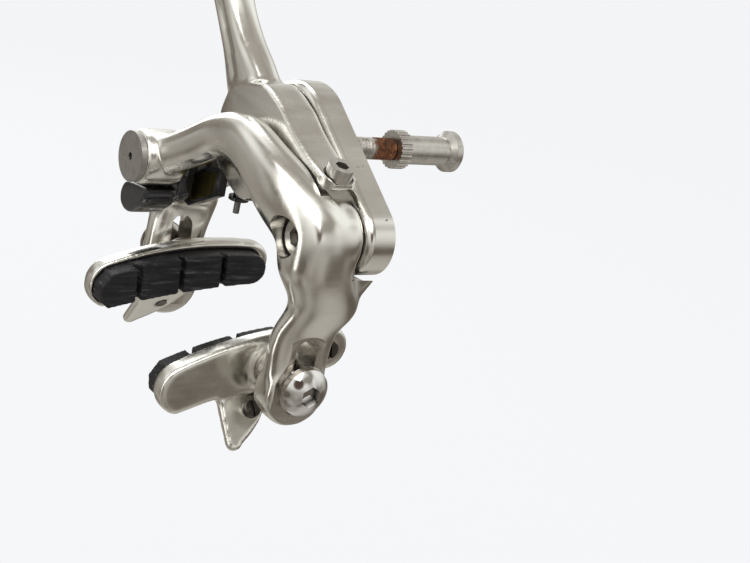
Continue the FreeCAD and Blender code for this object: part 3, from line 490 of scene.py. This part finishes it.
def evaluated(obj):
    """Apply the object's modifiers."""
    bpy.context.view_layer.update()
    graph = bpy.context.evaluated_depsgraph_get()
    mesh = bpy.data.meshes.new_from_object(obj.evaluated_get(graph))
    obj.modifiers.clear()
    obj.data = mesh
    return obj


def forge(obj, rounds, swell, voxel=VOXEL):
    """Fuse crossing shapes into one skin, flow it smooth, and swell it back to size."""
    remesh = obj.modifiers.new("fuse", "REMESH")
    remesh.mode = "VOXEL"
    remesh.voxel_size = voxel
    evaluated(obj)
    bm = bmesh.new()
    bm.from_mesh(obj.data)
    for _ in range(rounds):
        bmesh.ops.smooth_vert(bm, verts=bm.verts, factor=0.5,
                              use_axis_x=True, use_axis_y=True, use_axis_z=True)
    bm.normal_update()
    for vert in bm.verts:
        vert.co += vert.normal * swell * MM
    bm.to_mesh(obj.data)
    bm.free()
    return obj


def carve(obj, cutters):
    """Cut several shapes out of the object, one after the other."""
    for number, cutter in enumerate(cutters):
        tool = as_object(cutter, "%s_tool_%d" % (obj.name, number))
        boolean = obj.modifiers.new("cut", "BOOLEAN")
        boolean.operation = "DIFFERENCE"
        boolean.solver = BOOLEAN
        boolean.object = tool
        evaluated(obj)
        bpy.data.objects.remove(tool)
    return obj


def cutter(build, *arguments):
    bm = bmesh.new()
    build(bm, *arguments)
    return bm


def smooth(mesh, angle=32):
    """Shade smooth, with creases where faces meet at more than the angle."""
    for polygon in mesh.polygons:
        polygon.use_smooth = True
    mesh.set_sharp_from_angle(angle=math.radians(angle))


def stand_in(obj, body, nodes, slot):
    """Dress a new piece, let it ride on its body and show it instead of its CAD nodes."""
    smooth(obj.data)
    obj.data.materials.clear()
    obj.data.materials.append(LOOKS[slot])
    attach(obj, body)
    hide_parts(*nodes)
    return obj


def leg_cutters(side, slot_high, spot_high):
    """A leg's slot, and the flats for the bolt's washers on its outer and inner faces."""
    spot = stadium(SLOT_LOW - 0.8, spot_high, SPOT_R)
    return [cutter(add_stadium, stadium(SLOT_LOW, slot_high, SLOT_R), 0.0, side * 60.0),
            cutter(add_stadium, spot, side * SPOT_X, side * 60.0),
            cutter(add_stadium, spot, side * 15.0, side * LEG_INNER_X)]


def mirrored(rows):
    """The same stations on the other side of the caliper."""
    return [(-x, y, z, 180 - heading, across, depth) for x, y, z, heading, across, depth in rows]


def make_c_arm():
    mid = C_REAR - 5.2
    bm = bmesh.new()
    add_limb(bm, [
        (-28.0, mid - 5.0, -12.6, 4, 4.4, 4.3), (-20.0, mid - 4.6, -10.4, 22, 4.7, 4.3),
        (-11.0, mid - 2.4, -4.8, 37, 5.0, 4.6), (-2.0, mid - 0.2, 1.0, 25, 5.4, 5.1),
        (8.0, mid - 0.1, 2.9, 0, 6.2, 5.1), (17.5, mid + 0.4, 0.0, -20, 7.0, 5.4),
        (26.0, mid + 3.0, -4.9, -34, 8.2, 6.8), (33.0, mid + 7.4, -11.4, -56, 9.0, 8.4),
        (35.6, mid + 8.6, -20.0, -80, 7.0, 9.2)] + LEG, 2.3)
    add_tube(bm, (SIDE_X, -22.0, SIDE_Z), (SIDE_X, Y_REAR, SIDE_Z), SIDE_BOSS_R)
    add_tube(bm, (RELEASE_X, RELEASE_FRONT, RELEASE_Z), (RELEASE_X, RELEASE_REAR, RELEASE_Z), RELEASE_R)
    add_tube(bm, (LEG_INNER_X, LEG_Y, LEG_END_Z), (LEG_OUTER_X, LEG_Y, LEG_END_Z), LEG_END_R)
    spur = [(-14.0, -17.0), (-8.4, -18.0), (-1.0, -19.0), (-0.3, -20.6), (-1.2, -21.8), (-4.2, -26.0),
            (-5.8, -32.0), (-12.0, -35.0)]
    add_stadium(bm, spur, 31.5, 39.0)
    arm = forge(as_object(bm, "c_arm_forged"), 36, 0.35)
    carve(arm, [
        cutter(add_tube, (SIDE_X, -60, SIDE_Z), (SIDE_X, 20, SIDE_Z), SIDE_BORE_R),
        cutter(add_tube, (SIDE_X, Y_REAR, SIDE_Z), (SIDE_X, 20, SIDE_Z), 10.8),
        cutter(add_box, (17.0, C_REAR, -0.9), (47.0, 10.4, 19.1)),
        cutter(add_box, (-40.0, C_REAR, -20.0), (23.6, 10.4, 40.0)),
        cutter(add_tube, (RELEASE_X, -30, RELEASE_Z), (RELEASE_X, 10, RELEASE_Z), 4.05),
        cutter(add_box, (-40, -50, -40), (-10, RELEASE_FRONT, 20)),
    ] + leg_cutters(1, -40.2, -43.0))
    stand_in(arm, "c_arm", ["c_arm"], "polished_aluminium")


def make_y_arm():
    mid = (Y_REAR + Y_FRONT) / 2
    bm = bmesh.new()
    hub = closed_curve([(9.0, 13.2), (17.5, 8.6), (26.0, 5.0), (33.8, 2.9), (35.4, 1.6), (33.8, 0.2),
                        (24.5, -0.4), (18.0, -3.4), (12.0, -9.5), (0.0, -14.6), (-13.0, -9.0), (-16.4, 0.0),
                        (-14.0, 9.0), (-1.5, 15.2)])
    add_plate(bm, hub, Y_FRONT, Y_REAR)
    add_limb(bm, [
        (-7.6, mid, 7.8, 138, 9.0, 4.8), (-13.2, mid, 13.6, 136, 7.7, 4.8),
        (-19.1, mid, 19.7, 134, 5.7, 4.6), (-25.4, mid, 26.2, 132, 4.9, 4.5),
        (-31.1, mid, 33.4, 122, 4.9, 4.8), (-33.9, -14.0, 39.5, 100, 5.0, 5.0)])
    add_limb(bm, [
        (-10.2, mid, -6.2, 214, 6.4, 4.7), (-17.4, mid, -11.1, 214, 6.0, 4.7),
        (-24.6, mid + 0.4, -16.2, 219, 5.5, 5.2), (-31.8, mid + 1.2, -22.3, 233, 4.9, 6.8)] + mirrored(LEG))
    add_tube(bm, (*ADJUSTER, ADJUSTER_LOW), (*ADJUSTER, ADJUSTER_HIGH), ADJUSTER_R)
    add_tube(bm, (-LEG_INNER_X, LEG_Y, LEG_END_Z), (-LEG_OUTER_X, LEG_Y, LEG_END_Z), LEG_END_R)
    arm = forge(as_object(bm, "y_arm_forged"), 0, 0.0)
    groove = cutter(add_limb, [
        (-13.0, Y_FRONT - 0.9, 12.4, 136, 1.6, 1.8), (-19.4, Y_FRONT - 1.0, 19.4, 134, 1.9, 2.6),
        (-25.8, Y_FRONT - 0.8, 25.8, 132, 1.9, 2.8), (-31.5, Y_FRONT - 0.9, 33.0, 122, 1.7, 2.4),
        (-34.0, Y_FRONT - 1.4, 38.0, 104, 1.2, 1.6)], 2.0)
    carve(arm, [groove])
    forge(arm, 16, 0.14)
    foot = Vector(SCREW_FOOT)
    tail_end = [(TAIL_X + TAIL_R * math.cos(a), TAIL_Y + TAIL_R * math.sin(a))
                for a in (math.pi / 2 - math.pi * k / 24 for k in range(25))]
    tail = [(45.0, -6.0), (31.0, -6.0)] + tail_end + [(31.0, -22.0), (45.0, -22.0)]
    along = Vector((math.sin(SCREW_LEAN), 0, math.cos(SCREW_LEAN)))
    slide = [(SLIDE_MIDDLE[0] + x, SLIDE_MIDDLE[1] + z) for x, z in SLIDE_CORNERS]
    carve(arm, [
        cutter(add_tube, (0, -40, 0), (0, 20, 0), 5.65),
        cutter(add_tube, (0, -40, 0), (0, -14, 0), 6.9),
        cutter(add_tube, (*ADJUSTER, 24), (*ADJUSTER, 60), 3.45),
        cutter(add_box, (-60, -60, ADJUSTER_HIGH), (0, 20, 60)),
        cutter(add_tube, foot - along * 12, foot + along * 2, 1.95),
        cutter(add_tube, foot, foot + along * 14, 3.8),
        cutter(add_box, (-48, -40, -24), (50, Y_FRONT, 70)),
        cutter(add_box, (-48, Y_REAR, -24), (50, 10, 70)),
        cutter(add_rings, [[(x, y, z) for x, y in tail] for z in (-3.0, 12.0)]),
        cutter(add_plate, slide, -30.0, -16.8),
        cutter(add_ring, 9.3, 11.9, -12.9, -2.0),
        cutter(add_tube, (-SPRING_R, SPRING_Y, -24), (-SPRING_R, SPRING_Y, 2), 1.0),
        cutter(add_tube, (-SPRING_R, SPRING_Y, -26), (-SPRING_R, SPRING_Y, -13.6), 1.65),
    ] + leg_cutters(-1, -34.1, -40.6))
    stand_in(arm, "y_arm", ["y_arm"], "polished_aluminium")


def soften(node, body, slot, voxel, rounds, swell):
    """A smoother stand-in for one CAD node: its edges flow, its size stays."""
    obj = bpy.data.objects.new(node + "_soft", frame["nodes"][node].data.copy())
    bpy.context.scene.collection.objects.link(obj)
    forge(obj, rounds, swell, voxel * MM)
    return stand_in(obj, body, [node], slot)


def make_centre_bolt():
    """The mounting stud with its real thread, and the journal the Y-arm turns on."""
    bm = bmesh.new()
    journal = [(0, 2.2), (0.03, 2.65), (0.24, 2.65), (0.245, 4.0), (1, 4.0)]
    add_round(bm, (0, -18.6, 0), (0, 0.2, 0), journal)
    add_thread(bm, start=0.0, end=41.0, crest=2.98, root=2.5, pitch=1.0)
    stand_in(as_object(bm, "mounting_stud"), "bracket", ["centre_bolt"], "rusty_steel")


make_c_arm()
make_y_arm()
make_centre_bolt()
for side in ("near", "far"):
    soften(side + "_pad_holder", side + "_pad", "polished_aluminium", 0.4, 22, 0.16)
    soften(side + "_pad_rubber", side + "_pad", "block_rubber", 0.35, 3, 0.02)
soften("release_lever", "quick_release", "black_plastic", 0.4, 12, 0.10)


# ---------------------------------------------------------------- stage, light and camera

AZIMUTH = 51.0
ELEVATION = 19.0
ROLL = 13.5
DISTANCE = 0.385
LENS = 72.07
SENSOR = 36.0
AIM_RIGHT = 0.01615
AIM_UP = -0.03482
FLOOR_Z = -0.19
PALE = (0.905, 0.913, 0.93)
WORLD_LAYERS = [(0.0, (0.46, 0.44, 0.41)), (0.30, (0.36, 0.335, 0.305)), (0.46, (0.42, 0.40, 0.375)),
                (0.56, (0.72, 0.71, 0.68)), (0.72, (0.88, 0.88, 0.86)), (1.0, (1.05, 1.05, 1.03))]
WORLD_PATCHES = [(0.36, (0.36, 0.33, 0.30)), (0.48, (0.85, 0.84, 0.82)), (0.62, (1.15, 1.15, 1.14))]
DARK_TOWARD = (0.85, -0.30, 0.36)
DARK_FIGURE = [(0.0, (1.0, 1.0, 1.0)), (0.935, (1.0, 1.0, 1.0)), (0.97, (0.16, 0.115, 0.10)),
               (1.0, (0.10, 0.07, 0.06))]
FLOOR_HALF = 4.0


def make_camera():
    a, e, r = (math.radians(v) for v in (AZIMUTH, ELEVATION, ROLL))
    back = Vector((math.sin(a) * math.cos(e), -math.cos(a) * math.cos(e), math.sin(e)))
    level = Vector((math.cos(a), math.sin(a), 0))
    upright = back.cross(level)
    right = level * math.cos(r) + upright * math.sin(r)
    up = -level * math.sin(r) + upright * math.cos(r)
    place = back * DISTANCE + right * AIM_RIGHT + up * AIM_UP
    turn = Matrix((right, up, back)).transposed().to_4x4()
    data = bpy.data.cameras.new("camera")
    data.lens = LENS
    data.sensor_width = SENSOR
    data.clip_start = 0.01
    camera = bpy.data.objects.new("camera", data)
    camera.matrix_world = Matrix.Translation(place) @ turn
    bpy.context.scene.collection.objects.link(camera)
    bpy.context.scene.camera = camera


def card(name, centre, toward, width, height, colour, strength):
    """A soft rectangular light, shining along a direction."""
    data = bpy.data.lights.new(name, "AREA")
    data.shape = "RECTANGLE"
    data.size = width
    data.size_y = height
    data.energy = strength
    data.color = colour
    light = bpy.data.objects.new(name, data)
    light.location = centre
    light.rotation_euler = Vector(toward).to_track_quat("-Z", "Y").to_euler()
    bpy.context.scene.collection.objects.link(light)


def multiply_node(tree):
    node = tree.nodes.new("ShaderNodeMix")
    node.data_type = "RGBA"
    node.blend_type = "MULTIPLY"
    node.inputs["Factor"].default_value = 1.0
    return node


def make_world():
    """Pale to the camera. To the metal, a white studio with brown-grey corners and one dark figure."""
    world = bpy.data.worlds.new("studio")
    bpy.context.scene.world = world
    world.use_nodes = True
    tree = world.node_tree
    tree.nodes.clear()
    link = tree.links.new
    out = tree.nodes.new("ShaderNodeOutputWorld")
    seen = tree.nodes.new("ShaderNodeBackground")
    seen.inputs["Color"].default_value = (*PALE, 1)
    lit = tree.nodes.new("ShaderNodeBackground")
    coords = tree.nodes.new("ShaderNodeTexCoord")
    split = tree.nodes.new("ShaderNodeSeparateXYZ")
    height = tree.nodes.new("ShaderNodeMapRange")
    height.inputs["From Min"].default_value = -1
    layers = tree.nodes.new("ShaderNodeValToRGB")
    fill_ramp(layers, WORLD_LAYERS)
    blotch = tree.nodes.new("ShaderNodeTexNoise")
    blotch.inputs["Scale"].default_value = 1.5
    blotch.inputs["Detail"].default_value = 1.0
    patches = tree.nodes.new("ShaderNodeValToRGB")
    fill_ramp(patches, WORLD_PATCHES)
    product = multiply_node(tree)
    path = tree.nodes.new("ShaderNodeLightPath")
    choose = tree.nodes.new("ShaderNodeMixShader")
    link(coords.outputs["Generated"], split.inputs[0])
    link(split.outputs["Z"], height.inputs["Value"])
    link(height.outputs["Result"], layers.inputs["Fac"])
    link(coords.outputs["Generated"], blotch.inputs["Vector"])
    link(blotch.outputs["Fac"], patches.inputs["Fac"])
    toward = tree.nodes.new("ShaderNodeVectorMath")
    toward.operation = "DOT_PRODUCT"
    toward.inputs[1].default_value = Vector(DARK_TOWARD).normalized()
    figure = tree.nodes.new("ShaderNodeValToRGB")
    fill_ramp(figure, DARK_FIGURE)
    shaded = multiply_node(tree)
    link(coords.outputs["Generated"], toward.inputs[0])
    link(toward.outputs["Value"], figure.inputs["Fac"])
    link(layers.outputs["Color"], product.inputs[6])
    link(patches.outputs["Color"], product.inputs[7])
    link(product.outputs[2], shaded.inputs[6])
    link(figure.outputs["Color"], shaded.inputs[7])
    link(shaded.outputs[2], lit.inputs["Color"])
    link(path.outputs["Is Camera Ray"], choose.inputs["Fac"])
    link(lit.outputs[0], choose.inputs[1])
    link(seen.outputs[0], choose.inputs[2])
    link(choose.outputs[0], out.inputs["Surface"])


def make_floor():
    mesh = bpy.data.meshes.new("floor")
    signs = ((-1, -1), (1, -1), (1, 1), (-1, 1))
    mesh.from_pydata([(FLOOR_HALF * x, FLOOR_HALF * y, FLOOR_Z) for x, y in signs], [], [(0, 1, 2, 3)])
    floor = bpy.data.objects.new("floor", mesh)
    bpy.context.scene.collection.objects.link(floor)
    s = Shade("floor_pale")
    s.colour((0.06, 0.06, 0.06))
    s.roughness(1.0)
    s.set("Specular IOR Level", 0.0)
    s.set("Emission Color", PALE)
    s.set("Emission Strength", 0.95)
    mesh.materials.append(s.material)
    floor.visible_glossy = False


make_camera()
make_world()
make_floor()
card("key", (0.35, -0.35, 0.60), (-0.5, 0.5, -0.80), 0.8, 0.5, (1.0, 0.985, 0.96), 3.2)
card("rim", (-0.55, 0.1, 0.35), (0.8, -0.1, -0.5), 0.35, 0.8, (0.97, 0.98, 1.0), 1.6)
card("front", (0.1, -0.75, 0.05), (-0.1, 1.0, 0.0), 0.16, 0.8, (1.0, 0.97, 0.93), 0.7)
bpy.context.scene.view_settings.view_transform = "Standard"
